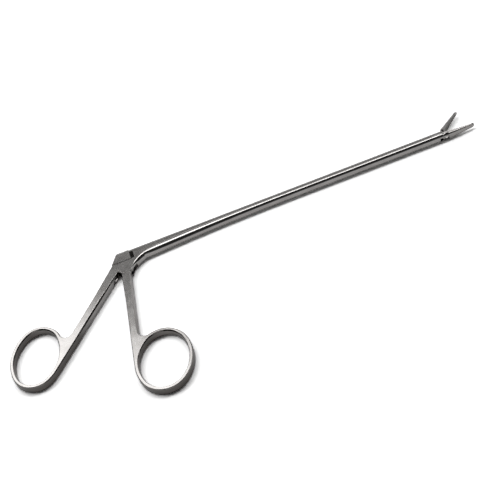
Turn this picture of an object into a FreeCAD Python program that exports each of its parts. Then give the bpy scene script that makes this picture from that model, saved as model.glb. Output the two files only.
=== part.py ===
import FreeCAD, Part
import math
import os
import re
import Sketcher

# Grasping forceps with a long shaft and one opening jaw, lying on its side.
# X runs along the shaft to the jaw tips, Y points away from the finger rings, Z is the thickness.
# The origin is on the handle pivot's axis, in the plane that the instrument lies on.
# Every piece is drawn about its own mid-plane and lifted by half the thickness of the handles.

driving_sizes = {
    # whole instrument
    "working_length": 180.0,        # handle pivot to jaw tips
    "plate_thickness": 5.0,         # handles and box
    "side_clearance": 0.15,         # each side of a tongue in its slot
    "slide_clearance": 0.1,         # sliding bar over the lower bar and the ledge
    "pin_clearance": 0.04,          # radial, pins that turn
    "fit_clearance": 0.02,          # radial, pins that are pressed or screwed in
    # shaft
    "bar_width": 4.6,
    "split_height": 6.7,            # plane between the two bars, above the pivot
    "upper_bar_height": 2.2,
    "lower_bar_height": 2.2,
    "bar_round": 1.9,
    "taper_length": 79.0,           # stretch over which the lower bar thins from the elbow
    "taper_depth": 2.8,
    "elbow_reach": 6.0,
    # box of the handle joint
    "box_radius": 4.8,
    "ledge_height": 2.65,
    "elbow_angle": 76.8,
    "elbow_radius": 14.0,
    "elbow_top_x": 8.2,
    "elbow_top_y": 4.1,
    "flat_end_x": 24.0,
    "flat_end_depth": 0.45,
    "tongue_thickness": 2.2,
    "tongue_radius": 3.0,
    "saw_run_out": 17.0,            # slot of the box running out along the thumb shank
    "saw_depth": 1.4,
    # block of the sliding bar
    "block_front": 3.2,
    "block_rear_foot": 6.5,
    "block_rear_top": 2.4,
    "block_round": 1.5,
    "stop_gap": 0.3,                # left in the notch when the jaws are closed
    "drive_height": 5.0,            # drive pin above the handle pivot
    "drive_pin_radius": 0.8,
    "head_half_width": 1.5,
    # handle pivot screw
    "pivot_radius": 1.3,
    "pivot_head_radius": 2.0,
    "pivot_head_height": 0.6,
    "key_hole_radius": 0.35,
    "key_hole_depth": 0.4,
    # jaws
    "opening_angle": 40.0,
    "jaw_length": 16.2,             # jaw pivot to tips
    "jaw_pivot_depth": 0.9,         # below the split plane
    "jaw_drive_rise": 2.0,          # drive pin above the jaw pivot
    "jaw_pin_radius": 0.5,
    "jaw_drive_radius": 0.4,
    "jaw_eye_radius": 1.0,
    "jaw_tail_thickness": 1.4,
    "jaw_shoulder": 2.3,
    "jaw_gap": 0.1,
    "jaw_pin_recess": 0.25,
    "jaw_root_height": 2.0,
    "jaw_tip_height": 0.9,
    "jaw_tip_width": 3.0,
    "tooth_pitch": 1.0,
    "tooth_depth": 0.35,
    # guide studs of the sliding bar
    "stud_first": 45.0,
    "stud_spacing": 75.0,
    "stud_neck_radius": 0.5,
    "stud_head_radius": 0.9,
    "stud_head_height": 0.4,
    "stud_neck_height": 0.5,
    "stud_root": 1.3,
    # handles: each is drawn with its shank down the sketch's Y axis
    "thumb_turn": -44.6,
    "thumb_inner_offset": 1.75,     # pivot to the edge that faces the other shank
    "thumb_root_width": 4.65,
    "thumb_end_width": 3.5,
    "thumb_reach": 58.9,
    "thumb_ring_width": 21.0,
    "thumb_ring_tilt": 20.4,
    "finger_turn": -8.3,
    "finger_inner_offset": 2.7,
    "finger_root_width": 4.2,
    "finger_end_width": 3.8,
    "finger_reach": 56.5,
    "finger_ring_width": 23.2,
    "finger_ring_tilt": -8.1,
    "ring_length": 29.0,
    "ring_band": 2.0,
    "ring_fullness": 0.46,          # share of the length beyond the width that the end arcs give up
    "ring_web_round": 3.0,
    "handle_edge": 0.6,             # chamfer along the shanks and rings
}

# Sizes that follow from the ones above
derived_sizes = {
    "half_opening": "opening_angle / 2",
    "slide_travel": "2 * jaw_drive_rise * tan(half_opening * 1 deg)",
    "half_swing": "atan(slide_travel / 2 / drive_height) / 1 deg",
    "shoulder_x": "block_front + slide_travel + stop_gap",
    "drive_x": "-slide_travel / 2",
    "slot_width": "tongue_thickness + 2 * side_clearance",
    "slot_radius": "box_radius + 2 * side_clearance",
    "bar_bottom": "split_height - lower_bar_height",
    "bar_top": "split_height + upper_bar_height",
    "upper_bottom": "split_height + slide_clearance",
    "jaw_pivot_x": "working_length - jaw_length",
    "jaw_pivot_y": "split_height - jaw_pivot_depth",
    "jaw_drive_x": "jaw_pivot_x - slide_travel / 2",
    "jaw_drive_y": "jaw_pivot_y + jaw_drive_rise",
    "jaw_slot_width": "jaw_tail_thickness + 2 * side_clearance",
    "jaw_slot_back": "jaw_eye_radius + slide_travel / 2 + 2 * side_clearance",
    "jaw_root_x": "jaw_pivot_x + jaw_shoulder + 2 * side_clearance",
    "jaw_pin_length": "bar_width - 2 * jaw_pin_recess",
    "thumb_end_radius": "thumb_ring_width / 2 - ring_fullness * (ring_length - thumb_ring_width) / 2",
    "thumb_side_radius": "ring_length / 2 + (ring_length - thumb_ring_width) / 4 / ring_fullness",
    "finger_end_radius": "finger_ring_width / 2 - ring_fullness * (ring_length - finger_ring_width) / 2",
    "finger_side_radius": "ring_length / 2 + (ring_length - finger_ring_width) / 4 / ring_fullness",
}

doc = FreeCAD.newDocument("grasping_forceps")
sheet = doc.addObject("Spreadsheet::Sheet", "Sizes")
row = 1
for name, number in driving_sizes.items():
    sheet.set(f"A{row}", name)
    sheet.set(f"B{row}", str(number))
    sheet.setAlias(f"B{row}", name)
    row += 1
for name, formula in derived_sizes.items():
    sheet.set(f"A{row}", name)
    sheet.set(f"B{row}", "=" + formula)
    sheet.setAlias(f"B{row}", name)
    row += 1
doc.recompute()
aliases = set(driving_sizes) | set(derived_sizes)


def bound(formula):
    """The formula with every size read from the sheet."""
    return re.sub(r"[a-z_]{3,}", lambda word: "Sizes." + word[0] if word[0] in aliases else word[0],
                  str(formula))


def worth(formula):
    """The number that a formula gives at present."""
    return float(sheet.evalExpression(bound(formula)))


def new_body(name):
    """A body drawn about the mid-plane and lifted onto the resting plane."""
    body = doc.addObject("PartDesign::Body", name)
    body.Label = name
    body.setExpression("Placement.Base.z", bound("plate_thickness / 2"))
    return body


def new_sketch(body, plane, lift=None, turn=None):
    """An empty sketch on one of the body's origin planes, moved along or turned about its normal."""
    sketch = body.newObject("Sketcher::SketchObject", "Sketch")
    support = [feature for feature in body.Origin.OriginFeatures if feature.Role == plane][0]
    sketch.AttachmentSupport = [(support, "")]
    sketch.MapMode = "FlatFace"
    if lift is not None:
        sketch.setExpression("AttachmentOffset.Base.z", bound(lift))
    if turn is not None:
        sketch.setExpression("AttachmentOffset.Rotation.Angle", bound(turn))
    return sketch


def hold(sketch, geometry, point, x, y):
    """Ties one point of a sketch to two formulas."""
    for kind, formula in (("DistanceX", x), ("DistanceY", y)):
        index = sketch.addConstraint(Sketcher.Constraint(kind, -1, 1, geometry, point, worth(formula)))
        sketch.setExpression(f"Constraints[{index}]", bound(formula))


def outline(body, corners, plane="XY_Plane", lift=None, turn=None):
    """A closed outline through the corners. A third entry in a corner makes the side that starts
    there an arc of that radius, which bulges to the right of the way round, or left where negative."""
    sketch = new_sketch(body, plane, lift, turn)
    points = [FreeCAD.Vector(worth(corner[0]), worth(corner[1]), 0) for corner in corners]
    count = len(corners)
    for i, corner in enumerate(corners):
        start, end = points[i], points[(i + 1) % count]
        if len(corner) == 2:
            sketch.addGeometry(Part.LineSegment(start, end))
            continue
        radius = worth(corner[2])
        chord = end - start
        side = FreeCAD.Vector(chord.y, -chord.x, 0).normalize() * math.copysign(1, radius)
        centre = (start + end) / 2 - side * math.sqrt(radius ** 2 - (chord.Length / 2) ** 2)
        ends = [start, end] if radius > 0 else [end, start]
        angles = [math.atan2(point.y - centre.y, point.x - centre.x) for point in ends]
        round_edge = Part.Circle(centre, FreeCAD.Vector(0, 0, 1), abs(radius))
        sketch.addGeometry(Part.ArcOfCircle(round_edge, *angles))
    arcs = [i for i, corner in enumerate(corners) if len(corner) == 3]
    backward = [i for i in arcs if worth(corners[i][2]) < 0]
    first = [2 if i in backward else 1 for i in range(count)]
    last = [3 - point for point in first]
    for i in range(count):
        follower = (i + 1) % count
        sketch.addConstraint(Sketcher.Constraint("Coincident", i, last[i], follower, first[follower]))
    for i, corner in enumerate(corners):
        hold(sketch, i, first[i], corner[0], corner[1])
    for i in arcs:
        index = sketch.addConstraint(Sketcher.Constraint("Radius", i, abs(worth(corners[i][2]))))
        sketch.setExpression(f"Constraints[{index}]", bound(f"abs({corners[i][2]})"))
    return sketch


def circle(body, x, y, radius, plane="XY_Plane", lift=None, turn=None):
    """A round outline."""
    sketch = new_sketch(body, plane, lift, turn)
    centre = FreeCAD.Vector(worth(x), worth(y), 0)
    sketch.addGeometry(Part.Circle(centre, FreeCAD.Vector(0, 0, 1), worth(radius)))
    hold(sketch, 0, 3, x, y)
    index = sketch.addConstraint(Sketcher.Constraint("Radius", 0, worth(radius)))
    sketch.setExpression(f"Constraints[{index}]", bound(radius))
    return sketch


def oval(body, x, y, hand, margin, turn=None):
    """The hand's ring opening widened all round by the margin: four arcs, the two small ones at the
    ends of a long axis that leans by the hand's tilt from the sketch's Y axis."""
    end_radius = f"({hand}_end_radius + {margin})"
    side_radius = f"({hand}_side_radius + {margin})"
    spread = f"({hand}_side_radius - {hand}_end_radius)"
    along = f"((ring_length / 2 - {hand}_end_radius) * {side_radius} / {spread})"
    across = (f"(({hand}_side_radius - {hand}_ring_width / 2)"
              f" * ({side_radius} / {spread} - 1))")
    corners = []
    for u, v, radius in ((1, -1, end_radius), (1, 1, side_radius), (-1, 1, end_radius),
                         (-1, -1, side_radius)):
        corners.append((
            f"{x} - ({u}) * {along} * sin({hand}_ring_tilt * 1 deg)"
            f" - ({v}) * {across} * cos({hand}_ring_tilt * 1 deg)",
            f"{y} + ({u}) * {along} * cos({hand}_ring_tilt * 1 deg)"
            f" - ({v}) * {across} * sin({hand}_ring_tilt * 1 deg)",
            radius,
        ))
    return outline(body, corners, turn=turn)


def pad(body, sketch, thickness, both_ways=True):
    """Adds the outline, both ways from its plane or along its normal."""
    feature = body.newObject("PartDesign::Pad", "Pad")
    feature.Profile = sketch
    feature.SideType = "Symmetric" if both_ways else "One side"
    feature.setExpression("Length", bound(thickness))
    doc.recompute()
    return feature


def pocket(body, sketch, depth, both_ways=True):
    """Cuts the outline, and makes sure that it cuts something."""
    before = body.Shape.Volume
    feature = body.newObject("PartDesign::Pocket", "Pocket")
    feature.Profile = sketch
    feature.SideType = "Symmetric" if both_ways else "One side"
    feature.setExpression("Length", bound(depth))
    doc.recompute()
    if body.Shape.Volume > before - 1e-6:
        raise RuntimeError(f"a pocket of {body.Label} cuts nothing")
    return feature


def soften(body, kind, size, wanted):
    """A Fillet or Chamfer on the edges of the body for which wanted, given the shape and an edge,
    is true."""
    base = body.Tip
    names = [f"Edge{i + 1}" for i, edge in enumerate(base.Shape.Edges) if wanted(base.Shape, edge)]
    feature = body.newObject(f"PartDesign::{kind}", kind)
    feature.Base = (base, names)
    feature.setExpression("Radius" if kind == "Fillet" else "Size", bound(size))
    doc.recompute()
    return feature


def loft(body, first, last):
    """A solid between two sections."""
    feature = body.newObject("PartDesign::AdditiveLoft", "Loft")
    feature.Profile = first
    feature.Sections = [last]
    doc.recompute()
    return feature


def half_round(body, station, face, width, height, radius, way):
    """Section of a bar at a station along X: flat at face, rounded on the far side, which lies
    the way +1 or -1 along Y."""
    return outline(body, [
        (face, f"-{width} / 2"),
        (face, f"{width} / 2"),
        (f"{face} + {way} * ({height} - {radius})", f"{width} / 2", f"{-way} * {radius}"),
        (f"{face} + {way} * {height}", f"{width} / 2 - {radius}"),
        (f"{face} + {way} * {height}", f"{radius} - {width} / 2", f"{-way} * {radius}"),
        (f"{face} + {way} * ({height} - {radius})", f"-{width} / 2"),
    ], "YZ_Plane", lift=station)


def jaw_section(body, station, face, width, height, way):
    """Section of a jaw at a station along X: flat at face, with its back ground to three facets."""
    return outline(body, [
        (face, f"-{width} / 2"),
        (face, f"{width} / 2"),
        (f"{face} + {way} * 0.4 * {height}", f"{width} / 2"),
        (f"{face} + {way} * {height}", f"0.22 * {width}"),
        (f"{face} + {way} * {height}", f"-0.22 * {width}"),
        (f"{face} + {way} * 0.4 * {height}", f"-{width} / 2"),
    ], "YZ_Plane", lift=station)


def round_tip(body, tip, tip_radius):
    """Rounds the end of a jaw as seen from above the teeth."""
    sketch = outline(body, [
        (f"{tip} - {tip_radius}", tip_radius, tip_radius),
        (tip, "0", tip_radius),
        (f"{tip} - {tip_radius}", f"-{tip_radius}"),
        (f"{tip} - {tip_radius}", "-bar_width"),
        (f"{tip} + {tip_radius}", "-bar_width"),
        (f"{tip} + {tip_radius}", "bar_width"),
        (f"{tip} - {tip_radius}", "bar_width"),
    ], "XZ_Plane")
    pocket(body, sketch, "4 * working_length")


def cut_teeth(body, first, last, face, way):
    """Grooves across a jaw from first to last, cut into face the way +1 or -1 along Y."""
    sketch = outline(body, [
        (f"{first} - tooth_pitch / 2", face),
        (first, f"{face} + {way} * tooth_depth"),
        (f"{first} + tooth_pitch / 2", face),
        (f"{first}", f"{face} - {way} * tooth_depth"),
    ])
    groove = pocket(body, sketch, "2 * bar_width")
    pattern = body.newObject("PartDesign::LinearPattern", "Teeth")
    pattern.Originals = [groove]
    pattern.Direction = ([feature for feature in body.Origin.OriginFeatures
                          if feature.Role == "X_Axis"][0], [""])
    pattern.Mode = "Spacing"
    pattern.setExpression("Offset", bound("tooth_pitch"))
    pattern.Occurrences = int((worth(last) - worth(first)) / worth("tooth_pitch")) + 1
    body.Tip = pattern
    doc.recompute()


def add_shank_and_ring(body, hand, side, shank_top, turn=None):
    """Shank down the sketch's Y axis with its inner edge at the hand's offset from the pivot, and
    the ring that this edge is tangent to. side is +1 where the ring hangs towards +X."""
    inner = f"-{hand}_inner_offset"
    lean = f"({hand}_side_radius - {hand}_ring_width / 2)"
    tilt = f"({hand}_ring_tilt * 1 deg)"
    support = f"({hand}_side_radius + ring_band - {lean} * cos{tilt})"
    centre_x = f"({inner} + ({side}) * {support})"
    touch = f"-{hand}_reach + ({side}) * {lean} * sin{tilt}"
    pad(body, outline(body, shank_top + [
        (f"{inner} + ({side}) * {hand}_end_width", touch),
        (inner, touch),
    ], turn=turn), "plate_thickness")
    pad(body, oval(body, centre_x, f"-{hand}_reach", hand, "ring_band", turn), "plate_thickness")
    pocket(body, oval(body, centre_x, f"-{hand}_reach", hand, "0", turn), "2 * plate_thickness")


def upright(edge):
    """True for an edge that runs along Z."""
    return edge.BoundBox.ZLength > 1 and edge.BoundBox.XLength + edge.BoundBox.YLength < 0.01


def level(edge):
    """True for an edge in the top or bottom face of a handle."""
    half = worth("plate_thickness / 2")
    return edge.BoundBox.ZLength < 0.01 and abs(abs(edge.CenterOfMass.z) - half) < 0.01


def inside_angle(shape, edge):
    """True where an upright edge lies in a corner that the solid fills on three sides."""
    middle = edge.CenterOfMass
    count = 0
    for step in range(12):
        angle = math.radians(30 * step + 15)
        probe = middle + FreeCAD.Vector(math.cos(angle), math.sin(angle), 0) * 0.2
        count += shape.isInside(probe, 1e-4, False)
    return count > 7


# Thumb handle, box, lower bar and fixed jaw: one forging
frame = new_body("thumb_handle_frame")
pad(frame, outline(frame, [
    ("elbow_reach", "split_height"),
    ("elbow_reach", "bar_bottom - taper_depth",
     "-(taper_length ^ 2 + taper_depth ^ 2) / 2 / taper_depth"),
    ("elbow_reach + taper_length", "bar_bottom"),
    ("jaw_root_x", "bar_bottom"),
    ("jaw_root_x", "split_height"),
]), "bar_width")
bar_bottom = worth("bar_bottom")
soften(frame, "Fillet", "bar_round", lambda shape, edge: edge.BoundBox.YMax < bar_bottom + 0.01
       and edge.BoundBox.XLength > 1)
loft(frame,
     jaw_section(frame, "jaw_root_x", "split_height", "bar_width", "lower_bar_height", -1),
     jaw_section(frame, "working_length", "split_height", "jaw_tip_width", "jaw_tip_height", -1))
cut_teeth(frame, "jaw_pivot_x + jaw_shoulder + 2 * tooth_pitch", "working_length - tooth_pitch / 2",
          "split_height", -1)
outer_x = "-(thumb_inner_offset + thumb_root_width)"
box_cos = "cos(thumb_turn * 1 deg)"
box_sin = "sin(thumb_turn * 1 deg)"
crotch = "(acos(-thumb_inner_offset / box_radius) - thumb_turn * 1 deg)"
pad(frame, outline(frame, [
    (f"({outer_x} - ledge_height * {box_sin}) / {box_cos}", "ledge_height"),
    (f"box_radius * cos(360 * 1 deg - {crotch})", f"box_radius * sin(360 * 1 deg - {crotch})",
     "box_radius"),
    ("box_radius * cos(elbow_angle * 1 deg)", "-box_radius * sin(elbow_angle * 1 deg)",
     "-elbow_radius"),
    ("elbow_top_x", "elbow_top_y"),
    ("flat_end_x", "split_height - flat_end_depth"),
    ("flat_end_x", "split_height"),
    ("shoulder_x", "split_height"),
    ("shoulder_x", "ledge_height"),
]), "plate_thickness")
add_shank_and_ring(frame, "thumb", -1, [
    ("-thumb_inner_offset", f"(ledge_height - ({outer_x}) * {box_sin}) / {box_cos}"),
    (outer_x, f"(ledge_height - ({outer_x}) * {box_sin}) / {box_cos}"),
], turn="thumb_turn")
handle_end = worth("-box_radius")
soften(frame, "Fillet", "ring_web_round", lambda shape, edge: upright(edge) and inside_angle(shape, edge)
       and edge.BoundBox.YMax < handle_end)
soften(frame, "Chamfer", "handle_edge", lambda shape, edge: level(edge)
       and edge.CenterOfMass.y < handle_end and edge.CenterOfMass.x < handle_end)
pocket(frame, circle(frame, "0", "0", "slot_radius"), "slot_width")
pocket(frame, outline(frame, [
    ("-thumb_inner_offset - saw_depth", "-box_radius"),
    ("-thumb_inner_offset + saw_depth", "-saw_run_out"),
    ("-thumb_inner_offset + saw_depth", "-box_radius"),
], turn="thumb_turn"), "slot_width")
pocket(frame, circle(frame, "0", "0", "pivot_radius + fit_clearance"), "2 * plate_thickness")
pocket(frame, circle(frame, "0", "0", "pivot_head_radius + fit_clearance",
                     lift="-plate_thickness / 2"), "2 * (pivot_head_height + fit_clearance)")
pocket(frame, circle(frame, "jaw_pivot_x", "jaw_pivot_y", "jaw_pin_radius + fit_clearance"),
       "2 * bar_width")


def rectangle(body, left, right, low, high, plane="XY_Plane", lift=None, turn=None):
    """A rectangular outline."""
    return outline(body, [(left, low), (right, low), (right, high), (left, high)], plane, lift, turn)


pocket(frame, rectangle(frame, "jaw_pivot_x - jaw_slot_back", "jaw_root_x",
                        "0", "2 * split_height"), "jaw_slot_width")
round_tip(frame, "working_length", "jaw_tip_width / 2")
stud_places = [f"(stud_first + {index} * stud_spacing)" for index in range(2)]
for place in stud_places:
    pocket(frame, circle(frame, place, "0", "stud_neck_radius + fit_clearance", "XZ_Plane",
                         lift="-split_height"), "2 * (stud_root + side_clearance)")

# Finger handle: the lever, with a thin tongue in the box and a head in the sliding block
lever = new_body("finger_handle")
lever.setExpression("Placement.Rotation.Angle", bound("finger_turn"))
shoulder_radius = "(box_radius + side_clearance)"
lever_outer = "(finger_root_width - finger_inner_offset)"
add_shank_and_ring(lever, "finger", 1, [
    ("-finger_inner_offset", f"-sqrt({shoulder_radius} ^ 2 - finger_inner_offset ^ 2)",
     shoulder_radius),
    (lever_outer, f"-sqrt({shoulder_radius} ^ 2 - {lever_outer} ^ 2)"),
])
soften(lever, "Fillet", "ring_web_round", lambda shape, edge: upright(edge) and inside_angle(shape, edge)
       and edge.BoundBox.YMax < 2 * handle_end)
soften(lever, "Chamfer", "handle_edge", lambda shape, edge: level(edge)
       and edge.CenterOfMass.y < 2 * handle_end)
pad(lever, circle(lever, "0", "0", "tongue_radius"), "tongue_thickness")
pad(lever, rectangle(lever, "-finger_inner_offset", lever_outer, "-1.5 * box_radius", "0"),
    "tongue_thickness")
head_turn = "(half_swing - finger_turn)"
reach = "(drive_height * (1 + 1 / cos(half_swing * 1 deg)) / 2)"
pad(lever, rectangle(lever, "-head_half_width", "head_half_width", "0", reach, turn=head_turn),
    "tongue_thickness")
pad(lever, circle(lever, "0", reach, "head_half_width", turn=head_turn), "tongue_thickness")
pocket(lever, circle(lever, "0", reach, f"drive_pin_radius + pin_clearance + {reach} - drive_height",
                     turn=head_turn), "2 * tongue_thickness")
pocket(lever, circle(lever, "0", "0", "pivot_radius + pin_clearance"), "2 * tongue_thickness")

# Sliding bar: rounded bar with the block that the lever's head drives
slide = new_body("slide_bar")
bar_end = "(jaw_drive_x + jaw_eye_radius)"
pad(slide, half_round(slide, f"(block_front + {bar_end}) / 2 - block_round / 2", "upper_bottom",
                      "bar_width", "(upper_bar_height - slide_clearance)", "bar_round", 1),
    f"{bar_end} - block_front + block_round")
pad(slide, outline(slide, [
    ("-block_rear_foot", "ledge_height + slide_clearance"),
    ("block_front", "ledge_height + slide_clearance"),
    ("block_front", "bar_top"),
    ("-block_rear_top", "bar_top"),
]), "plate_thickness")
block_top = worth("bar_top")
soften(slide, "Fillet", "block_round", lambda shape, edge: level(edge) and edge.BoundBox.YMin > block_top - 0.01)
pocket(slide, rectangle(slide, "drive_x - 1.5 * head_half_width", "drive_x + 1.5 * head_half_width",
                        "0", "drive_height + head_half_width + 2 * side_clearance"), "slot_width")
pocket(slide, circle(slide, "drive_x", "drive_height", "drive_pin_radius + fit_clearance"),
       "2 * plate_thickness")
pocket(slide, rectangle(slide, "jaw_drive_x - jaw_slot_back",
                        "jaw_drive_x + 2 * jaw_eye_radius", "split_height", "2 * bar_top"),
       "jaw_slot_width")
pocket(slide, circle(slide, "jaw_drive_x", "jaw_drive_y", "jaw_drive_radius + fit_clearance"),
       "2 * bar_width")
pocket(slide, outline(slide, [
    ("jaw_drive_x", "jaw_drive_y + jaw_eye_radius", "-jaw_eye_radius"),
    ("jaw_drive_x + jaw_eye_radius", "jaw_drive_y"),
    ("jaw_drive_x + jaw_eye_radius", "2 * bar_top"),
    ("jaw_drive_x", "2 * bar_top"),
]), "2 * bar_width")
neck_top = "(upper_bottom + stud_neck_height)"
cavity_top = f"({neck_top} + stud_head_height + side_clearance)"
for place in stud_places:
    back = f"({place} - slide_travel - stud_head_radius - side_clearance)"
    front = f"({place} + stud_head_radius + side_clearance)"
    entry = f"({front} + 2 * stud_head_radius + 2 * side_clearance)"
    pocket(slide, rectangle(slide, back, front, "0", neck_top),
           "2 * (stud_neck_radius + side_clearance)")
    pocket(slide, rectangle(slide, back, front, f"{neck_top} - side_clearance", cavity_top),
           "2 * (stud_head_radius + side_clearance)")
    pocket(slide, rectangle(slide, front, entry, "0", cavity_top),
           "2 * (stud_head_radius + side_clearance)")

# Opening jaw, drawn closed about its own pivot
jaw = new_body("upper_jaw")
jaw.setExpression("Placement.Base.x", bound("jaw_pivot_x"))
jaw.setExpression("Placement.Base.y", bound("jaw_pivot_y"))
jaw.setExpression("Placement.Rotation.Angle", bound("opening_angle"))
jaw_face = "(jaw_pivot_depth + jaw_gap)"
loft(jaw,
     jaw_section(jaw, "jaw_shoulder", jaw_face, "bar_width", "jaw_root_height", 1),
     jaw_section(jaw, "jaw_length", jaw_face, "jaw_tip_width", "jaw_tip_height", 1))
cut_teeth(jaw, "jaw_shoulder + 2.5 * tooth_pitch", "jaw_length - tooth_pitch", jaw_face, 1)
round_tip(jaw, "jaw_length", "jaw_tip_width / 2")
eye_reach = "(jaw_drive_rise * (1 + 1 / cos(half_opening * 1 deg)) / 2)"
eye_x = f"({eye_reach} * sin(half_opening * 1 deg))"
eye_y = f"({eye_reach} * cos(half_opening * 1 deg))"
flank_x = "jaw_eye_radius * cos(half_opening * 1 deg)"
flank_y = "jaw_eye_radius * sin(half_opening * 1 deg)"
pad(jaw, circle(jaw, "0", "0", "jaw_eye_radius"), "jaw_tail_thickness")
pad(jaw, circle(jaw, eye_x, eye_y, "jaw_eye_radius"), "jaw_tail_thickness")
pad(jaw, outline(jaw, [
    (f"-{flank_x}", flank_y),
    (f"{flank_x}", f"-{flank_y}"),
    ("jaw_shoulder + 2 * side_clearance", jaw_face),
    ("jaw_shoulder + 2 * side_clearance", f"{jaw_face} + 0.8 * jaw_root_height"),
    (eye_x, f"{eye_y} + jaw_eye_radius"),
    (f"{eye_x} - {flank_x}", f"{eye_y} + {flank_y}"),
]), "jaw_tail_thickness")
pocket(jaw, circle(jaw, "0", "0", "jaw_pin_radius + pin_clearance"), "2 * jaw_tail_thickness")
pocket(jaw, circle(jaw, eye_x, eye_y,
                   f"jaw_drive_radius + pin_clearance + {eye_reach} - jaw_drive_rise"),
       "2 * jaw_tail_thickness")

# Handle pivot screw, its head flush with the underside and drilled for a two-pin key
screw = new_body("handle_pivot_screw")
pad(screw, circle(screw, "0", "0", "pivot_radius"), "plate_thickness")
pad(screw, circle(screw, "0", "0", "pivot_head_radius", lift="-plate_thickness / 2"),
    "pivot_head_height", False)
for side in (-1, 1):
    pocket(screw, circle(screw, f"({side}) * pivot_radius", "0", "key_hole_radius",
                         lift="-plate_thickness / 2"), "key_hole_depth * 2")

# Pins across the bars and the block
pins = {
    "drive_pin": ("drive_x", "drive_height", "drive_pin_radius", "plate_thickness - 2 * side_clearance"),
    "jaw_pivot_pin": ("jaw_pivot_x", "jaw_pivot_y", "jaw_pin_radius", "jaw_pin_length"),
    "jaw_drive_pin": ("jaw_drive_x", "jaw_drive_y", "jaw_drive_radius", "jaw_pin_length"),
}
bodies = [frame, lever, slide, jaw, screw]
for name, (x, y, radius, length) in pins.items():
    pin = new_body(name)
    pin.setExpression("Placement.Base.x", bound(x))
    pin.setExpression("Placement.Base.y", bound(y))
    pad(pin, circle(pin, "0", "0", radius), length)
    bodies.append(pin)

# Guide studs: pressed into the lower bar, their heads hold the sliding bar down
for name, place in zip(("rear_guide_stud", "front_guide_stud"), stud_places):
    stud = new_body(name)
    stud.setExpression("Placement.Base.x", bound(place))
    foot = "split_height - stud_root"
    pad(stud, circle(stud, "0", "0", "stud_neck_radius", "XZ_Plane",
                     lift=f"-({foot} + {neck_top}) / 2"), f"{neck_top} - ({foot})")
    pad(stud, circle(stud, "0", "0", "stud_head_radius", "XZ_Plane",
                     lift=f"-({neck_top} + stud_head_height / 2)"), "stud_head_height")
    bodies.append(stud)

doc.recompute()
for item in doc.Objects:
    if "Invalid" in item.State or "Error" in item.State:
        raise RuntimeError(f"{item.Name} failed: {item.State}")
os.makedirs("parts", exist_ok=True)
for body in bodies:
    shape = body.Shape
    if shape.isNull() or not shape.isValid() or len(shape.Solids) != 1:
        raise RuntimeError(f"{body.Label} is not one sound solid")
    shape.exportStep(f"parts/{body.Label}.step")
    print(f"{body.Label}: {shape.Volume:.1f} mm3")
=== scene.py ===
import math

import bmesh
import bpy
import numpy as np
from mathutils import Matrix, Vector
from mathutils.geometry import tessellate_polygon


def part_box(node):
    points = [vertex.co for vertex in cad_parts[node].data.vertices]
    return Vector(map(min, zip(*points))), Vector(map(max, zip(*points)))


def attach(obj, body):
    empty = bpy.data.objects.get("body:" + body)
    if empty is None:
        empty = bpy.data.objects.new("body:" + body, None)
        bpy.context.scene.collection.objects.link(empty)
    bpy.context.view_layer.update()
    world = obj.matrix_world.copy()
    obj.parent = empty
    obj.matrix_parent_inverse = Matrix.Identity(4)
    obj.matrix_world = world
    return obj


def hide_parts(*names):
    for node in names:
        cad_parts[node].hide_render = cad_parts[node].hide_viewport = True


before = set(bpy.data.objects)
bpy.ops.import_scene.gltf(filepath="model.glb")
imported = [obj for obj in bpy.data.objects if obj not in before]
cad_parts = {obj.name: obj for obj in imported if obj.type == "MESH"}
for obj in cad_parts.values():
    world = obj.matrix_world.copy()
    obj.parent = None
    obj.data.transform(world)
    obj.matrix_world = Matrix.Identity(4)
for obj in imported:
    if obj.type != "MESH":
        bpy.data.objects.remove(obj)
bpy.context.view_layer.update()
print("frame loaded, nodes:", len(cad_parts))

mm = 0.001


def linearColour(hexCode):
    # sRGB hex to the linear values that shaders use
    channels = [int(hexCode[i:i + 2], 16) / 255 for i in (0, 2, 4)]
    return tuple(c / 12.92 if c <= 0.04045 else ((c + 0.055) / 1.055) ** 2.4 for c in channels) + (1,)


def addNode(tree, kind, settings=None, inputs=None):
    # one node; an input given as (node, output) becomes a link
    node = tree.nodes.new(kind)
    for name, value in (settings or {}).items():
        setattr(node, name, value)
    for name, value in (inputs or {}).items():
        if isinstance(value, tuple) and isinstance(value[0], bpy.types.Node):
            tree.links.new(value[0].outputs[value[1]], node.inputs[name])
        else:
            node.inputs[name].default_value = value
    return node


def newMaterial(name):
    material = bpy.data.materials.new(name)
    material.use_nodes = True
    material.node_tree.nodes.clear()
    return material, material.node_tree


# Martensitic stainless steel, ground and then brushed by hand: a neutral grey satin. Scratches lie
# along each piece, so highlights smear across it. The rings' sides get a darker colour: painted shade
# for the shadowed table and dark room that they mirror.
steel = {
    # the third colour is painted shade on the rings' walls, for the shadowed table they mirror
    "bright": "BDBBB9", "dull": "A9A6A4", "paintedWallShade": "716D6A",
    "paintedShadeFrom": 30 * mm, "paintedShadeTo": 44 * mm,        # distance down the handles, -x / 2 - y
    "faceNormal": 0.9, "wallNormal": 0.3,            # share of Z in the normal, on faces and on sides
    "roughness": 0.135, "roughnessSpread": 0.02,
    "scratchSpacing": 0.12 * mm,      # across the brushing; the real 0.02 mm is too fine to show
    "scratchLength": 6 * mm,
    "scratchDepth": 0.0008 * mm,
    "scratchShare": 0.6,              # of the scratches in tone and gloss, beside the blotches
    "scratchRelief": 0.6,             # strength of the bump
    "blotch": 5 * mm,                 # slow change of tone where the wheel dwelt
    "tone": (0.55, 1.05), "gloss": (0.5, 1.1),       # sums of the two that give each end of the range
}


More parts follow.
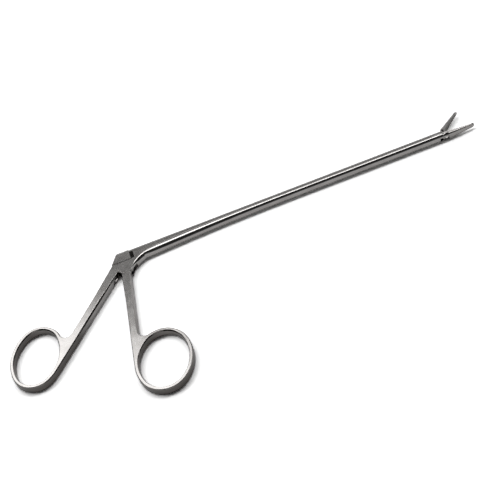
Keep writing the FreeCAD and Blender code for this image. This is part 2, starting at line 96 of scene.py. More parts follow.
def brushedSteel(name, turn):
    # turn: direction of the brushing about Z, in degrees
    material, tree = newMaterial(name)
    place = addNode(tree, "ShaderNodeTexCoord")
    turned = addNode(tree, "ShaderNodeMapping", {"vector_type": "TEXTURE"}, {
        "Vector": (place, "Object"), "Rotation": (0, 0, math.radians(turn)),
    })
    stretched = addNode(tree, "ShaderNodeVectorMath", {"operation": "DIVIDE"}, {
        0: (turned, "Vector"),
        1: (steel["scratchLength"], steel["scratchSpacing"], steel["scratchSpacing"]),
    })
    scratches = addNode(tree, "ShaderNodeTexNoise", {}, {
        "Vector": (stretched, "Vector"), "Scale": 1.0, "Detail": 2.0, "Roughness": 0.55,
    })
    blotches = addNode(tree, "ShaderNodeTexNoise", {}, {
        "Vector": (place, "Object"), "Scale": 1 / steel["blotch"], "Detail": 3.0, "Roughness": 0.5,
    })
    both = addNode(tree, "ShaderNodeMath", {"operation": "MULTIPLY_ADD"}, {
        0: (scratches, 0), 1: steel["scratchShare"], 2: (blotches, 0),
    })
    tone = addNode(tree, "ShaderNodeMapRange", {}, {
        "Value": (both, "Value"), "From Min": steel["tone"][0], "From Max": steel["tone"][1],
        "To Min": 0.0, "To Max": 1.0,
    })
    shade = addNode(tree, "ShaderNodeMix", {"data_type": "RGBA"}, {
        0: (tone, "Result"), 6: linearColour(steel["dull"]), 7: linearColour(steel["bright"]),
    })
    facing = addNode(tree, "ShaderNodeSeparateXYZ", {}, {"Vector": (place, "Normal")})
    level = addNode(tree, "ShaderNodeMath", {"operation": "ABSOLUTE"}, {0: (facing, "Z")})
    upright = addNode(tree, "ShaderNodeMapRange", {}, {
        "Value": (level, "Value"), "From Min": steel["faceNormal"], "From Max": steel["wallNormal"],
        "To Min": 0.0, "To Max": 1.0,
    })
    reach = addNode(tree, "ShaderNodeVectorMath", {"operation": "DOT_PRODUCT"}, {
        0: (place, "Object"), 1: (-0.5, -1, 0),
    })
    onRing = addNode(tree, "ShaderNodeMapRange", {}, {
        "Value": (reach, "Value"), "From Min": steel["paintedShadeFrom"], "From Max": steel["paintedShadeTo"],
        "To Min": 0.0, "To Max": 1.0,
    })
    # painted shade: the rings' upright walls take the darker wall colour, for the shadowed table and dark
    # room that they mirror
    paintedWallShade = addNode(tree, "ShaderNodeMath", {"operation": "MULTIPLY"}, {
        0: (upright, "Result"), 1: (onRing, "Result"),
    })
    colourWithPaintedShade = addNode(tree, "ShaderNodeMix", {"data_type": "RGBA"}, {
        0: (paintedWallShade, "Value"), 6: (shade, 2), 7: linearColour(steel["paintedWallShade"]),
    })
    gloss = addNode(tree, "ShaderNodeMapRange", {}, {
        "Value": (both, "Value"), "From Min": steel["gloss"][0], "From Max": steel["gloss"][1],
        "To Min": steel["roughness"] - steel["roughnessSpread"],
        "To Max": steel["roughness"] + steel["roughnessSpread"],
    })
    relief = addNode(tree, "ShaderNodeBump", {}, {
        "Height": (scratches, 0), "Distance": steel["scratchDepth"], "Strength": steel["scratchRelief"],
    })
    metal = addNode(tree, "ShaderNodeBsdfPrincipled", {}, {
        "Metallic": 1.0, "Base Color": (colourWithPaintedShade, 2), "Roughness": (gloss, "Result"),
        "Normal": (relief, "Normal"),
    })
    addNode(tree, "ShaderNodeOutputMaterial", {}, {"Surface": (metal, "BSDF")})
    return material


# Lengths are in mm from here to the camera, and a place seen from above is x + yj. The handle
# pivot is at 0, and every piece is symmetric about the middle of the thickness.
plate = {"thickness": 5.0, "middle": 2.5}
seat = {"ledge": 2.65, "split": 6.7, "notch": 4.956}      # two heights under the slide, x that stops it
skin = 0.001                          # least gap between cuts, and between a jaw's stations
creaseAngle = 32                      # degrees past which the shading breaks


def turnedBy(degrees):
    # a place times this is turned about the pivot
    return np.exp(1j * math.radians(degrees))


def planPoints(places):
    places = np.array(places)
    return np.stack([places.real, places.imag], 1)


def smoothStep(value, low, high):
    share = np.clip((value - low) / (high - low), 0, 1)
    return share * share * (3 - 2 * share)


# Edges are dressed as on a forging: a crown, a sloping shoulder and a soft corner into the wall.
edges = {
    "crown": 0.4, "shoulder": 0.82, "corner": 0.8, "slope": 62.0,    # radius, length, radius, degrees
    "box": 0.45, "handle": 0.95, "ring": 0.62,       # share of that at the box joint, shanks and rings
    "sharp": 0.14, "ledge": 0.4, "elbow": 0.03,      # and at the notch, the ledge and the elbow
    "sharpWithin": 5.0,               # distance from the pivot
    "handleFrom": 6.0, "handleTo": 24.0,             # the same
    "ringFrom": 36.0, "ringTo": 46.0,                # distance down the handles, -x / 2 - y
    "elbowFrom": 1.0, "elbowTo": 30.0, "elbowAbove": -4.7,           # x, distance, y
    "near": 0.05,                     # counts as on a line
    "margin": 0.04,                   # strip inside the crown
    "spacing": 0.8, "arcSpacing": 0.8 / 1.4,         # points along straight sides and arcs
}


def traceOutline(corners):
    # Points along the sides of a closed outline. A corner is (place, radius): the side that starts
    # there is straight for radius 0, and else an arc that turns left, or right where negative.
    parts = []
    for (start, radius), (end, _) in zip(corners, corners[1:] + corners[:1]):
        chord = end - start
        if radius == 0:
            count = max(1, math.ceil(abs(chord) / edges["spacing"]))
            parts.append(start + chord * np.arange(count) / count)
            continue
        rise = math.copysign(math.sqrt(radius ** 2 - abs(chord) ** 2 / 4), radius)
        centre = (start + end) / 2 + 1j * chord / abs(chord) * rise
        sweep = 2 * math.asin(abs(chord) / 2 / radius)
        count = max(3, math.ceil(radius * sweep / edges["arcSpacing"]))
        parts.append(centre + (start - centre) * np.exp(1j * sweep * np.arange(count) / count))
    return planPoints(np.concatenate(parts))


def inwardMitre(loop):
    # at each point, the step into the metal that shifts both sides by one: (n1 + n2) / (1 + n1.n2)
    ahead = np.roll(loop, -1, 0) - loop
    ahead /= np.linalg.norm(ahead, axis=1)[:, None]
    after = np.stack([-ahead[:, 1], ahead[:, 0]], 1)
    before = np.roll(after, 1, 0)
    return (before + after) / (1 + (before * after).sum(1))[:, None]


def edgeShare(loop):
    # how much of the edge dressing each point gets: full on the shanks, little on machined faces
    x, y = loop.T
    away = np.hypot(x, y)
    share = edges["box"] + (edges["handle"] - edges["box"]) * smoothStep(
        away, edges["handleFrom"], edges["handleTo"])
    share += (edges["ring"] - edges["handle"]) * smoothStep(
        -x / 2 - y, edges["ringFrom"], edges["ringTo"])
    share[away < edges["sharpWithin"]] = edges["sharp"]
    share[(x > edges["elbowFrom"]) & (away < edges["elbowTo"]) & (y > edges["elbowAbove"])] = edges["elbow"]
    onLedge = (y > seat["ledge"] - edges["near"]) & (x < seat["notch"] + edges["near"])
    share[onLedge] = edges["ledge"]
    share[onLedge & (x > seat["notch"] - edges["near"])] = edges["sharp"]
    share[y > seat["split"] - edges["near"]] = edges["sharp"]
    return share


def edgeProfile():
    # Rows from the face's margin down to the wall: inset from the wall and drop from the face.
    # The normal turns from up by t: crown r (sin t, 1 - cos t), a straight slope, then the corner.
    slope = math.radians(edges["slope"])
    turn = np.linspace(0, slope, 7)
    inset, drop = -edges["crown"] * np.sin(turn), edges["crown"] * (1 - np.cos(turn))
    inset = np.append(inset, inset[-1] - edges["shoulder"] * math.cos(slope))
    drop = np.append(drop, drop[-1] + edges["shoulder"] * math.sin(slope))
    turn = np.linspace(slope, math.pi / 2, 5)[1:]
    inset = np.append(inset, inset[-1] - edges["corner"] * (np.sin(turn) - math.sin(slope)))
    drop = np.append(drop, drop[-1] + edges["corner"] * (math.cos(slope) - np.cos(turn)))
    inset = inset - inset[-1]
    return np.append(inset[0], inset), np.append(0, drop)


def roundedPlate(loops):
    # Plate over an outline and its holes. Each wall is loop + mitre * inset(z), and the faces
    # inside the innermost rows are flat.
    inset, drop = edgeProfile()
    margin = np.zeros(len(inset))
    margin[0] = edges["margin"]
    still, rise = np.zeros(4), np.linspace(0, 1, 6)[1:-1]
    insets = np.concatenate([inset, still, inset[::-1]])
    drops = np.concatenate([drop, drop[-1] * (1 - 2 * rise), -drop[::-1]])
    lifts = np.concatenate([0 * drop, rise, 1 + 0 * drop])
    margins = np.concatenate([margin, still, margin[::-1]])
    rows = len(lifts)
    points, faces, tops, base = [], [], [], 0
    for loop in loops:
        share = edgeShare(loop)
        depth = np.outer(insets, share) + margins[:, None]
        height = np.outer(drops, share) + lifts[:, None] * plate["thickness"]
        flat = loop[None] + inwardMitre(loop)[None] * depth[..., None]
        points.append(np.concatenate([flat, height[..., None]], 2).reshape(-1, 3))
        count = len(loop)
        here = base + np.arange(rows - 1)[:, None] * count + np.arange(count)
        beside = base + np.arange(rows - 1)[:, None] * count + (np.arange(count) + 1) % count
        faces += np.stack([here, beside, beside + count, here + count], 2).reshape(-1, 4).tolist()
        tops.append((base, count, flat[-1]))
        base += rows * count
    lowIndex = np.concatenate([start + np.arange(count) for start, count, _ in tops])
    highIndex = lowIndex + np.concatenate([np.full(count, (rows - 1) * count) for _, count, _ in tops])
    filled = np.array(tessellate_polygon([[Vector((x, y, 0)) for x, y in top] for *_, top in tops]))
    faces += highIndex[filled].tolist() + lowIndex[filled].tolist()
    return np.vstack(points), faces


def sweptLoops(loops):
    # closed surface through equal loops of points, one per station, capped at both ends
    stations, count = loops.shape[:2]
    here = np.arange(stations - 1)[:, None] * count + np.arange(count)
    beside = np.arange(stations - 1)[:, None] * count + (np.arange(count) + 1) % count
    faces = np.stack([here, beside, beside + count, here + count], 2).reshape(-1, 4).tolist()
    last = (stations - 1) * count
    faces += [list(range(count)), list(range(last + count - 1, last - 1, -1))]
    return loops.reshape(-1, 3), faces


def prism(loop, low, high):
    # straight walls over a loop
    levels = [np.column_stack([loop, np.full(len(loop), z)]) for z in (low, high)]
    return sweptLoops(np.stack(levels))


def disc(centre, radius, count=72):
    return planPoints(centre + radius * np.exp(2j * math.pi * np.arange(count) / count))


def meshFrom(name, points, faces):
    # closed mesh, in metres, facing outwards
    mesh = bpy.data.meshes.new(name)
    mesh.from_pydata((points * mm).tolist(), [], faces)
    work = bmesh.new()
    work.from_mesh(mesh)
    bmesh.ops.recalc_face_normals(work, faces=work.faces)
    work.to_mesh(mesh)
    work.free()
    return mesh


def cutCopy(node, planes=()):
    # merged copy of a CAD node, cut back by planes (point, direction that goes), cuts closed
    work = bmesh.new()
    work.from_mesh(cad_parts[node].data)
    bmesh.ops.remove_doubles(work, verts=work.verts, dist=0.002 * mm)
    for place, away in planes:
        everything = work.verts[:] + work.edges[:] + work.faces[:]
        bmesh.ops.bisect_plane(work, geom=everything, dist=1e-7, plane_co=Vector(place) * mm,
                               plane_no=Vector(away), clear_outer=True)
        rim = [edge for edge in work.edges if edge.is_boundary]
        bmesh.ops.holes_fill(work, edges=rim, sides=0)
    bmesh.ops.dissolve_limit(work, angle_limit=math.radians(0.2), verts=work.verts, edges=work.edges)
    bmesh.ops.triangulate(work, faces=[face for face in work.faces if len(face.verts) > 4])
    mesh = bpy.data.meshes.new(node + "Cut")
    work.to_mesh(mesh)
    work.free()
    return mesh


def subtract(mesh, cutters):
    # the mesh less each cutter, worked out by Blender's exact boolean
    holder = bpy.data.objects.new("holder", mesh)
    bpy.context.scene.collection.objects.link(holder)
    tools = []
    for cutter in cutters:
        tool = bpy.data.objects.new("cutter", meshFrom("cutter", *cutter))
        bpy.context.scene.collection.objects.link(tool)
        cut = holder.modifiers.new("cut", "BOOLEAN")
        cut.operation = "DIFFERENCE"
        cut.solver = "EXACT"
        cut.object = tool
        tools.append(tool)
    seen = holder.evaluated_get(bpy.context.evaluated_depsgraph_get())
    result = bpy.data.meshes.new_from_object(seen)
    for thing in tools + [holder]:
        bpy.data.objects.remove(thing)
    return result


def makePiece(name, node, body, brushing, meshes):
    # joins the meshes into one piece that stands for the node
    work = bmesh.new()
    for mesh in meshes:
        work.from_mesh(mesh)
        bpy.data.meshes.remove(mesh)
    for face in work.faces:
        face.smooth = True
        face.material_index = 0
    mesh = bpy.data.meshes.new(name)
    work.to_mesh(mesh)
    work.free()
    mesh.set_sharp_from_angle(angle=math.radians(creaseAngle))
    mesh.materials.append(brushedSteel(name + "BrushedSteel", brushing))
    piece = bpy.data.objects.new(name, mesh)
    bpy.context.scene.collection.objects.link(piece)
    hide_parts(node)
    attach(piece, body)
    print("made", name, len(mesh.polygons), "faces")


# Handles: each shank runs down its own -y axis from the pivot, then turns about it. The inner edge
# touches the ring, and a round joins the outer edge to it.
rings = {"length": 29.0, "band": 2.0, "fullness": 0.46, "web": 3.0}         # fullness 0: straight sides


def ringArcs(hand, margin):
    # Four-centred oval as (start, radius, centre) of each arc, anticlockwise from the side at +x.
    # Side arcs have radius l / 2 + (l - w) / 4 / f, end arcs (w - f (l - w)) / 2.
    width, length, fullness = hand["ringWidth"], rings["length"], rings["fullness"]
    endRadius = (width - fullness * (length - width)) / 2
    sideRadius = length / 2 + (length - width) / 4 / fullness
    across = turnedBy(hand["ringTilt"])
    lean = across * (sideRadius - width / 2)
    rise = 1j * across * (length / 2 - endRadius)
    middle = complex(hand["side"] * (sideRadius + rings["band"] - lean.real) - hand["innerOffset"],
                     -hand["reach"])
    arcs = []
    for side, end, centre, radius in ((-lean, -rise, -lean, sideRadius), (-lean, rise, rise, endRadius),
                                      (lean, rise, lean, sideRadius), (lean, -rise, -rise, endRadius)):
        join = side + (end - side) / abs(end - side) * (sideRadius + margin)
        arcs.append((middle + join, radius + margin, middle + centre))
    return arcs


def handleCorners(hand, outerTop):
    # Corners from the shank round the ring and back, anticlockwise. The web's round of radius r
    # touches the outer edge and lies r + R from the centre of the ring's arc of radius R.
    arcs, side, web = ringArcs(hand, rings["band"]), hand["side"], rings["web"]
    touched = arcs[0] if side < 0 else arcs[2]
    touch = touched[2] - side * touched[1]
    down = complex(side * hand["endWidth"] - hand["innerOffset"], touch.imag) - outerTop
    down /= abs(down)
    outwards = side * 1j * down * web
    _, radius, centre = arcs[hand["webArc"]]
    offset = outerTop + outwards - centre
    along = (offset * down.conjugate()).real
    foot = outerTop - down * (along + math.sqrt(along ** 2 - abs(offset) ** 2 + (radius + web) ** 2))
    landing = centre + (foot + outwards - centre) * radius / (radius + web)
    starts = [(start, arcRadius) for start, arcRadius, _ in arcs]
    if side < 0:
        corners = [(foot, -web), (landing, radius)] + starts[1:] + starts[:1] + [(touch, 0)]
    else:
        corners = [(touch, touched[1])] + starts[3:] + starts[:2] + [(landing, -web), (foot, 0)]
    return [(place * turnedBy(hand["turn"]), arcRadius) for place, arcRadius in corners]


def ringHole(hand):
    # the opening, clockwise
    arcs = ringArcs(hand, 0)
    return [(arcs[(i + 1) % 4][0] * turnedBy(hand["turn"]), -arcs[i][1]) for i in (0, 3, 2, 1)]


# Thumb handle, box joint, lower half of the shaft and fixed jaw: one forging
thumbHandle = {
    "turn": -44.6, "side": -1,        # degrees, and the side that the ring hangs to
    "innerOffset": 1.75, "rootWidth": 4.65, "endWidth": 3.5, "reach": 58.9,
    "ringWidth": 21.0, "ringTilt": 20.4, "webArc": 0,                # the ring's arc that the round meets
    "boxRadius": 4.8, "elbowAngle": 76.8, "elbowRadius": 14.0,
    "elbowTop": 8.2 + 4.1j, "flatEnd": 24.0 + 6.25j,
    "slotRadius": 5.1, "slotLow": 1.25, "slotHigh": 3.75,
    "sawDepth": 1.4, "sawRunOut": 17.0,              # run-out of the slot along the shank
    "screwHole": 1.32, "headHole": 2.02, "headDepth": 0.62,
    "brushing": 0,
}


def thumbOutline(hand):
    turned = turnedBy(hand["turn"])
    outerX = -hand["innerOffset"] - hand["rootWidth"]
    outerTop = complex(outerX, (seat["ledge"] - outerX * turned.imag) / turned.real)
    crotch = complex(-hand["innerOffset"], -math.sqrt(hand["boxRadius"] ** 2 - hand["innerOffset"] ** 2))
    return [
        (complex(seat["notch"], seat["split"]), 0),
        (complex(seat["notch"], seat["ledge"]), 0),
        (outerTop * turned, 0),
        *handleCorners(hand, outerTop),
        (crotch * turned, hand["boxRadius"]),
        (hand["boxRadius"] * turnedBy(-hand["elbowAngle"]), -hand["elbowRadius"]),
        (hand["elbowTop"], 0),
        (hand["flatEnd"], 0),
        (complex(hand["flatEnd"].real, seat["split"]), 0),
    ]


# Lower half of the shaft with the elbow: a half-round section carried along its visible edge line
lowerBar = {
    "edge": [(1.75, -4.1), (2.2, -2.9), (2.75, -1.6), (3.6, -0.2), (4.98, 1.3), (6.67, 2.52),
             (8.27, 3.35), (10.26, 3.98), (12.23, 4.48), (15.5, 5.03), (19.5, 5.4), (24, 5.68),
             (31, 6.02), (40, 6.22), (55, 6.32), (75, 6.38), (95, 6.4), (115, 6.4), (135, 6.4), (158, 6.4)],
    "perKnot": 9, "to": 158.0,
    "elbowHalf": 2.49, "halfWidth": 2.3, "narrows": (12, 30),        # half thickness, where it drops
    "round": 1.9, "arris": 0.1,
    "bottom": 4.5, "taperEnd": 85.0, "taperLength": 79.0, "taperDepth": 2.8,
    "overlap": 0.9, "overlapEnds": (14, 23),         # of the flat in the elbow's plate
    "elbowReach": ((1.75, 2.2, 2.9, 5.0, 9.2), (0.04, 0.25, 0.8, 1.7, 2.07)),        # at x, how far out
}


def smoothCurve(knots, perKnot):
    # Catmull-Rom: (2 b + (c - a) t + (2 a - 5 b + 4 c - d) t^2 + (3 b - a - 3 c + d) t^3) / 2
    points = np.array(knots, float)
    points = np.vstack([2 * points[0] - points[1], points, 2 * points[-1] - points[-2]])
    a, b, c, d = (points[i:len(points) - 3 + i, None] for i in range(4))
    t = (np.arange(perKnot) / perKnot)[None, :, None]
    curve = (2 * b + (c - a) * t + (2 * a - 5 * b + 4 * c - d) * t ** 2
             + (3 * b - a - 3 * c + d) * t ** 3) / 2
    return np.vstack([curve.reshape(-1, 2), points[-2]])


def barLoops(bar):
    # Section: out = reach * sin t, z = half - round + round * cos t, from the edge line outwards. The
    # flat behind the edge ends inside the elbow's plate, and further on at the split plane. The
    # bar's bottom follows an arc of radius (l^2 + d^2) / 2 / d until the taper ends.
    path = smoothCurve(bar["edge"], bar["perKnot"])
    along = np.gradient(path, axis=0)
    along /= np.linalg.norm(along, axis=1)[:, None]
    out = np.stack([along[:, 1], -along[:, 0]], 1)
    x, y = path.T
    taperRadius = (bar["taperLength"] ** 2 + bar["taperDepth"] ** 2) / 2 / bar["taperDepth"]
    before = np.clip(bar["taperEnd"] - x, 0, None)
    bottom = bar["bottom"] - (taperRadius - np.sqrt(taperRadius ** 2 - before ** 2))
    elbowEnd = bar["elbowReach"][0][-1]
    reach = np.where(x < elbowEnd, np.interp(x, *bar["elbowReach"]), -out[:, 1] * (y - bottom))
    back = (seat["split"] - y) / np.clip(-out[:, 1], 0.5, 1)
    back = bar["overlap"] + (back - bar["overlap"]) * smoothStep(x, *bar["overlapEnds"])
    half = bar["elbowHalf"] + (bar["halfWidth"] - bar["elbowHalf"]) * smoothStep(x, *bar["narrows"])
    turn, corner = np.linspace(0, math.pi / 2, 15), np.linspace(math.pi / 2, 0, 4)
    steps = np.hstack([bar["arris"] * (1 - np.sin(corner)) - back[:, None], reach[:, None] * np.sin(turn)])
    drop = np.append(bar["arris"] * (np.cos(corner) - 1), bar["round"] * (np.cos(turn) - 1))
    height = half[:, None] + drop
    steps = np.hstack([steps, steps[:, ::-1]])
    height = np.hstack([height, -height[:, ::-1]]) + plate["middle"]
    plan = path[:, None] + out[:, None] * steps[..., None]
    return np.concatenate([plan, height[..., None]], 2)


# Jaws. Root, tip and teeth are stations along x, and face is the height of the toothed face: from
# the handle pivot for the fixed jaw, and from its own for the moving one. Way is the back's side.
blades = {
    "fixed": {"root": 166.38, "tip": 180.0, "face": seat["split"], "way": -1, "rootHeight": 2.2,
              "teethFrom": 167.6, "teethTo": 178.6},
    "moving": {"root": 2.3, "tip": 16.2, "face": 1.0, "way": 1, "rootHeight": 2.0,
               "teethFrom": 4.3, "teethTo": 15.3},
    "tipHeight": 0.9, "rootHalf": 2.3, "tipHalf": 1.15,
    "toothPitch": 1.0, "toothDepth": 0.35,
    "cheek": 0.42, "fullness": 3.4,   # height of the flat cheek, power of the back's curve
    "tipRound": 1.25, "tipTurn": 84.0, "noseHeight": 0.4, "noseCheek": 0.3,        # shares at the nose
}


def bladeLoops(jaw, pivot=0j, opened=0.0):
    # Flat toothed face, back z = half * cos(t) ^ (2 / n), y = height * sin(t) ^ (2 / n), narrowing to
    # a round nose. Teeth are a triangle wave along the face.
    nose = jaw["tip"] - blades["tipRound"]
    straight = np.arange(jaw["teethFrom"], nose, blades["toothPitch"] / 2)
    turn = np.linspace(0, math.radians(blades["tipTurn"]), 9)
    x = np.concatenate([[jaw["root"]], straight, nose + blades["tipRound"] * np.sin(turn)])
    x = x[np.concatenate([[True], np.diff(x) > skin])]
    share = (x - jaw["root"]) / (jaw["tip"] - jaw["root"])
    roundOff = np.sqrt(1 - np.clip((x - nose) / blades["tipRound"], 0, 0.999) ** 2)
    half = (blades["rootHalf"] + (blades["tipHalf"] - blades["rootHalf"]) * share) * roundOff
    height = jaw["rootHeight"] + (blades["tipHeight"] - jaw["rootHeight"]) * share
    height = height * (blades["noseHeight"] + (1 - blades["noseHeight"]) * roundOff)
    phase = (x - jaw["teethFrom"]) / blades["toothPitch"] % 1
    toothed = (x > jaw["teethFrom"]) & (x < min(jaw["teethTo"], nose))
    valley = np.where(toothed, blades["toothDepth"] * (1 - np.abs(2 * phase - 1)), 0)
    cheek = blades["cheek"] * (blades["noseCheek"] + (1 - blades["noseCheek"]) * roundOff)
    turn = np.linspace(0, math.pi, 25)
    power = 2 / blades["fullness"]
    acrossBack = np.sign(np.cos(turn)) * np.abs(np.cos(turn)) ** power
    depthBack = np.abs(np.sin(turn)) ** power
    z = np.hstack([half[:, None], half[:, None] * acrossBack, -half[:, None]])
    depth = np.hstack([valley[:, None], cheek[:, None] + (height - cheek)[:, None] * depthBack,
                       valley[:, None]])
    plan = pivot + (x[:, None] + 1j * (jaw["face"] + jaw["way"] * depth)) * turnedBy(opened)
    return np.stack([plan.real, plan.imag, z + plate["middle"]], 2)


inner, box, slot = -thumbHandle["innerOffset"], thumbHandle["boxRadius"], thumbHandle["slotRadius"]
slotLow, slotHigh, saw = thumbHandle["slotLow"], thumbHandle["slotHigh"], thumbHandle["sawDepth"]
sawCut = np.array([complex(inner - saw, -box), complex(inner + saw, -thumbHandle["sawRunOut"]),
                   complex(inner + saw, -box)]) * turnedBy(thumbHandle["turn"])
leverSlot = prism(disc(0, slot), slotLow, slotHigh)
thumbPlate = subtract(
    meshFrom("thumbPlate", *roundedPlate([traceOutline(thumbOutline(thumbHandle)),
                                          traceOutline(ringHole(thumbHandle))])),
    [leverSlot,
     prism(planPoints(sawCut), slotLow + skin, slotHigh - skin),
     prism(disc(0, thumbHandle["screwHole"]), -1, plate["thickness"] + 1),
     prism(disc(0, thumbHandle["headHole"]), -1, thumbHandle["headDepth"])])
makePiece("thumbHandleFrame", "thumb_handle_frame", "frame", thumbHandle["brushing"], [
    thumbPlate,
    subtract(meshFrom("lowerBar", *sweptLoops(barLoops(lowerBar))), [leverSlot]),
    cutCopy("thumb_handle_frame", [((lowerBar["to"], 0, 0), (-1, 0, 0)),
                                   ((blades["fixed"]["root"], 0, 0), (1, 0, 0))]),
    meshFrom("fixedJaw", *sweptLoops(bladeLoops(blades["fixed"]))),
])

# Finger handle: the lever, with its tongue and round head copied from the CAD node
fingerHandle = {
    "turn": -8.3, "side": 1,
    "innerOffset": 2.7, "rootWidth": 4.2, "endWidth": 3.8, "reach": 56.5,
    "ringWidth": 23.2, "ringTilt": -8.1, "webArc": 1,
    "shoulderRadius": 4.95,
    "tongueLow": 1.4, "tongueHigh": 3.6, "tongueEnd": -7.0,
    "brushing": 82,
}


def fingerOutline(hand):
    shoulder = hand["shoulderRadius"]
    innerTop, outerTop = (complex(x, -math.sqrt(shoulder ** 2 - x ** 2)) for x in (
        -hand["innerOffset"], hand["rootWidth"] - hand["innerOffset"]))
    turned = turnedBy(hand["turn"])
    return [(innerTop * turned, 0), *handleCorners(hand, outerTop), (outerTop * turned, -shoulder)]


makePiece("fingerHandleLever", "finger_handle", "finger_lever", fingerHandle["brushing"], [
    meshFrom("fingerPlate", *roundedPlate([traceOutline(fingerOutline(fingerHandle)),
                                           traceOutline(ringHole(fingerHandle))])),
    cutCopy("finger_handle", [((0, 0, fingerHandle["tongueHigh"] - skin), (0, 0, 1)),
                              ((0, 0, fingerHandle["tongueLow"] + skin), (0, 0, -1)),
                              ((0, fingerHandle["tongueEnd"], 0), (0, -1, 0))]),
])

makePiece("slidingBar", "slide_bar", "slide", 0, [cutCopy("slide_bar")])


def centreOf(node):
    # middle of a CAD node, seen from above
    low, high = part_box(node)
    return complex(low[0] + high[0], low[1] + high[1]) / 2 / mm


drivePin = {"radius": 0.805}          # riveted, and ground flush with the block
makePiece("drivePinFlush", "drive_pin", "slide", 0, [
    meshFrom("drivePin", *prism(disc(centreOf("drive_pin"), drivePin["radius"]), 0, plate["thickness"]))])

# Moving jaw: the blade, with its tail copied from the CAD node
movingJaw = {"opened": 40.0, "tailLow": 1.801, "tailHigh": 3.199, "tailEnd": 2.45}
jawPivot = centreOf("jaw_pivot_pin")
alongJaw = turnedBy(movingJaw["opened"])
tailEnd = jawPivot + movingJaw["tailEnd"] * alongJaw
makePiece("movingJaw", "upper_jaw", "jaw", movingJaw["opened"], [
    cutCopy("upper_jaw", [((0, 0, movingJaw["tailHigh"]), (0, 0, 1)),
                          ((0, 0, movingJaw["tailLow"]), (0, 0, -1)),
                          ((tailEnd.real, tailEnd.imag, 0), (alongJaw.real, alongJaw.imag, 0))]),
    meshFrom("movingBlade", *sweptLoops(bladeLoops(blades["moving"], jawPivot, movingJaw["opened"]))),
])

# Screw, pins and studs stay as the CAD nodes
pinSteel = brushedSteel("groundSteelPins", 0)
for node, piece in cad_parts.items():
    if not piece.hide_render:
        piece.data.materials.clear()
        piece.data.materials.append(pinSteel)
print("pieces finished")

# Camera: the photograph's view, solved from the straight shaft and the rings
camera = {
    "location": (32.217 * mm, -389.33 * mm, 480.942 * mm),
    "turn": (36.6141, 10.9674, -18.1326),
    "focal": 93.6,                    # mm on a 36 mm wide sensor
}
cameraData = bpy.data.cameras.new("photoView")
cameraData.lens = camera["focal"]
cameraData.sensor_width = 36
cameraData.clip_start = 0.01
cameraData.clip_end = 20
cameraPiece = bpy.data.objects.new("photoView", cameraData)
cameraPiece.location = camera["location"]
cameraPiece.rotation_euler = [math.radians(a) for a in camera["turn"]]
bpy.context.scene.collection.objects.link(cameraPiece)
bpy.context.scene.camera = cameraPiece
print("camera placed")

# Table: matt white board. The camera sees it brighter than the lamps alone make it, so it is white
# and keeps the shadows. The metal mirrors it as plain white.
table = {"size": 20.0, "centre": (0.05, -0.02, -0.02 * mm), "colour": "F4F4F4",
         "seenWhite": 2.2, "mirroredWhite": 1.0}
grid = np.array([(-1, -1, 0), (1, -1, 0), (1, 1, 0), (-1, 1, 0)], float) * table["size"] / 2
floorMesh = bpy.data.meshes.new("whiteBoard")
floorMesh.from_pydata(grid.tolist(), [], [(0, 1, 2, 3)])
floorPiece = bpy.data.objects.new("whiteBoard", floorMesh)
floorPiece.location = table["centre"]
bpy.context.scene.collection.objects.link(floorPiece)
boardMaterial, tree = newMaterial("whiteBoard")
rays = addNode(tree, "ShaderNodeLightPath")
mirrored = addNode(tree, "ShaderNodeMath", {"operation": "MAXIMUM"}, {
    0: (rays, "Is Glossy Ray"), 1: (rays, "Is Transmission Ray"),
})
inMetal = addNode(tree, "ShaderNodeMix", {"data_type": "RGBA"}, {
    0: (mirrored, "Value"), 6: linearColour(table["colour"]), 7: (table["mirroredWhite"],) * 3 + (1,),
})
whiteness = addNode(tree, "ShaderNodeMix", {"data_type": "RGBA"}, {
    0: (rays, "Is Camera Ray"), 6: (inMetal, 2), 7: (table["seenWhite"],) * 3 + (1,),
})
board = addNode(tree, "ShaderNodeBsdfDiffuse", {}, {"Color": (whiteness, 2)})
addNode(tree, "ShaderNodeOutputMaterial", {}, {"Surface": (board, "BSDF")})
floorMesh.materials.append(boardMaterial)

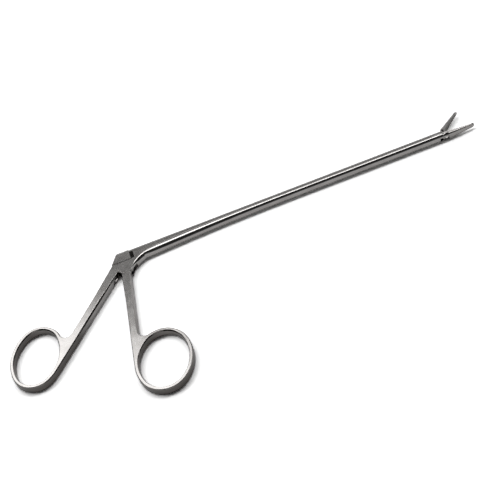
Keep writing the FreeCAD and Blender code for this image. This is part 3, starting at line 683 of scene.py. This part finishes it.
# Light: four soft boxes overhead, in metres. The flat faces mirror the gaps and edges between them,
# so they turn from mid grey at the box joint to near white at the thumb ring.
softBoxes = {
    "height": 0.9,
    "panels": [
        {"name": "overheadBox", "left": -0.95, "right": 0.65, "near": 0.03, "far": 0.28, "radiance": 3.8},
        {"name": "ringBox", "left": -0.42, "right": 0.0, "near": 0.28, "far": 0.605, "radiance": 1.95},
        {"name": "sideBox", "left": -0.32, "right": -0.13, "near": 0.605, "far": 0.74, "radiance": 1.95},
        {"name": "shaftBox", "left": 0.06, "right": 0.7, "near": 0.6, "far": 0.9, "radiance": 1.1},
    ],
}
for panel in softBoxes["panels"]:
    width, depth = panel["right"] - panel["left"], panel["far"] - panel["near"]
    lightData = bpy.data.lights.new(panel["name"], "AREA")
    lightData.shape = "RECTANGLE"
    lightData.size = width
    lightData.size_y = depth
    lightData.energy = math.pi * width * depth * panel["radiance"]
    lightPiece = bpy.data.objects.new(panel["name"], lightData)
    lightPiece.location = ((panel["left"] + panel["right"]) / 2, (panel["near"] + panel["far"]) / 2,
                           softBoxes["height"])
    bpy.context.scene.collection.objects.link(lightPiece)

# Room, by how far a direction points to the far side: the dark side gives the shaft its black line
room = [
    {"from": -0.1, "to": 0.6, "low": 0.025, "high": 0.28},      # dark behind the camera
    {"from": 0.68, "to": 0.95, "low": 0.0, "high": 0.55},       # pale wall low on the far side
    {"from": -0.86, "to": -0.99, "low": 0.0, "high": 0.5},      # and low behind the camera
]
world = bpy.data.worlds.new("room")
world.use_nodes = True
world.node_tree.nodes.clear()
bpy.context.scene.world = world
roomTree = world.node_tree
direction = addNode(roomTree, "ShaderNodeTexCoord")
split = addNode(roomTree, "ShaderNodeSeparateXYZ", {}, {"Vector": (direction, "Generated")})
strength = 0.0
for wall in room:
    fade = addNode(roomTree, "ShaderNodeMapRange", {"interpolation_type": "SMOOTHSTEP"}, {
        "Value": (split, "Y"), "From Min": wall["from"], "From Max": wall["to"],
        "To Min": wall["low"], "To Max": wall["high"],
    })
    total = addNode(roomTree, "ShaderNodeMath", {"operation": "ADD"}, {0: (fade, "Result"), 1: strength})
    strength = (total, "Value")
walls = addNode(roomTree, "ShaderNodeBackground", {}, {"Color": (1, 1, 1, 1), "Strength": strength})
addNode(roomTree, "ShaderNodeOutputWorld", {}, {"Surface": (walls, "Background")})
print("table and light ready")

bpy.context.scene.view_settings.view_transform = "Standard"

print("scene ready")
